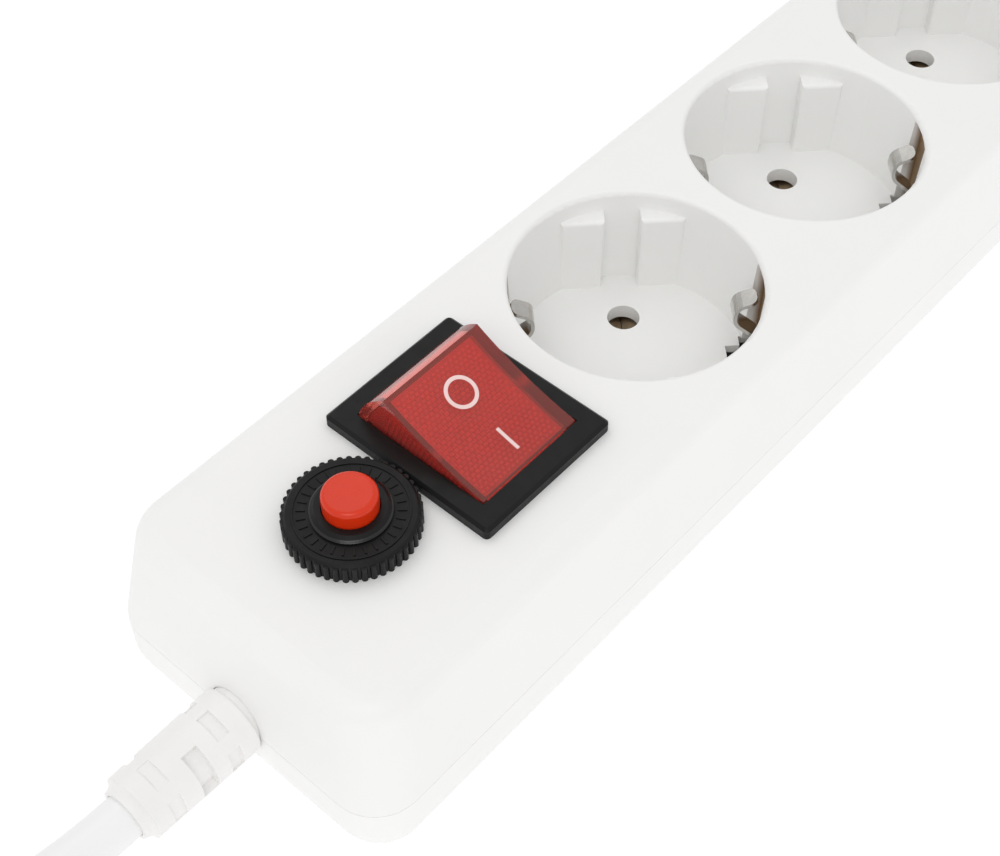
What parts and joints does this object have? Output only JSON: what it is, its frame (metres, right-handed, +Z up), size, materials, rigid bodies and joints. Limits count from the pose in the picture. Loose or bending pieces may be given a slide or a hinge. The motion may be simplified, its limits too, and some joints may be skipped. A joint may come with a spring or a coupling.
{
  "type": "surge protector power strip",
  "caption": "Surge-protected power strip with a row of earthed round sockets, lit rocker switch, overload reset button, strain-relieved cord and plug.",
  "frame": {"origin": "centre of the case on the plane it stands on, cord left out", "axes": "+X along the case away from the cord, +Z up out of the sockets, +Y to the side that the O end of the switch faces"},
  "size_m": [0.5289, 0.0735, 0.0469],
  "materials": {
    "white_shell": "fine satin",
    "black_plastic": "satin",
    "clear_red": "polished, tinted",
    "red_inner": "gloss",
    "orange_red": "gloss",
    "plated": "nickel plated",
    "brass_strip": "rolled",
    "copper_contact": "phosphor bronze",
    "zinc_screw": "zinc plated",
    "spring_steel": "spring steel",
    "grey_plastic": "matt",
    "lamp_glass": "clear",
    "resistor_body": "lacquered",
    "varistor_epoxy": "epoxy coated",
    "fuse_body": "lacquered",
    "brown_wire": "PVC",
    "blue_wire": "PVC",
    "green_yellow_wire": "PVC",
    "white_pvc": "soft PVC",
    "gland_plastic": "satin",
    "plug_plastic": "satin",
    "tie_fabric": "hook and loop"
  },
  "bodies": {
    "strip": {"top_cover": "white_shell", "base_cover": "white_shell", "case_screws": "zinc_screw", "live_busbar": "brass_strip", "neutral_busbar": "brass_strip", "live_contacts": "copper_contact", "neutral_contacts": "copper_contact", "contact_rivets": "zinc_screw", "earth_busbar": "brass_strip", "earth_springs": "plated", "earth_rivets": "zinc_screw", "switch_housing": "black_plastic", "switch_terminals": "brass_strip", "switch_lamp": "lamp_glass", "lamp_resistor": "resistor_body", "breaker_body": "black_plastic", "breaker_nut": "black_plastic", "breaker_terminals": "brass_strip", "breaker_bimetal": "spring_steel", "surge_varistor": "varistor_epoxy", "thermal_fuse": "fuse_body", "push_on_terminals": "plated", "live_wire_in": "brown_wire", "live_wire_switch": "brown_wire", "live_wire_out": "brown_wire", "neutral_wire_in": "blue_wire", "neutral_wire_out": "blue_wire", "earth_wire": "green_yellow_wire", "cord_gland": "gland_plastic", "cord_sheath": "white_pvc", "cord_clamp": "grey_plastic", "clamp_screws": "zinc_screw", "power_cord": "white_pvc", "plug_cord": "white_pvc", "cord_hank": "white_pvc", "cord_ties": "tie_fabric", "plug_body": "plug_plastic", "plug_pins": "plated", "plug_earth_contacts": "plated"},
    "rocker": {"rocker_lens": "clear_red", "rocker_carrier": "red_inner", "switch_plungers": "grey_plastic", "switch_springs": "spring_steel"},
    "levers": {"contact_levers": "copper_contact"},
    "button": {"reset_button": "orange_red", "breaker_spring": "spring_steel"}
  },
  "joints": [
    {"name": "rocker_hinge", "type": "hinge", "parent": "strip", "child": "rocker", "pos_m": [-0.0997, 0, 0.0363], "axis": [-1, 0, 0], "range_deg": [0, 40]},
    {"name": "contact_lever_hinge", "type": "hinge", "parent": "strip", "child": "levers", "pos_m": [-0.0997, 0, 0.0234], "axis": [-1, 0, 0], "range_deg": [-16, 0]},
    {"name": "reset_button_slide", "type": "slide", "parent": "strip", "child": "button", "axis": [0, 0, 1], "range_m": [-0.001, 0.0025], "stiffness_N_per_m": 300, "deforming": ["breaker_spring"]}
  ],
  "couplings": [
    {"joint": "contact_lever_hinge", "follows": "rocker_hinge", "ratio": -0.4}
  ]
}
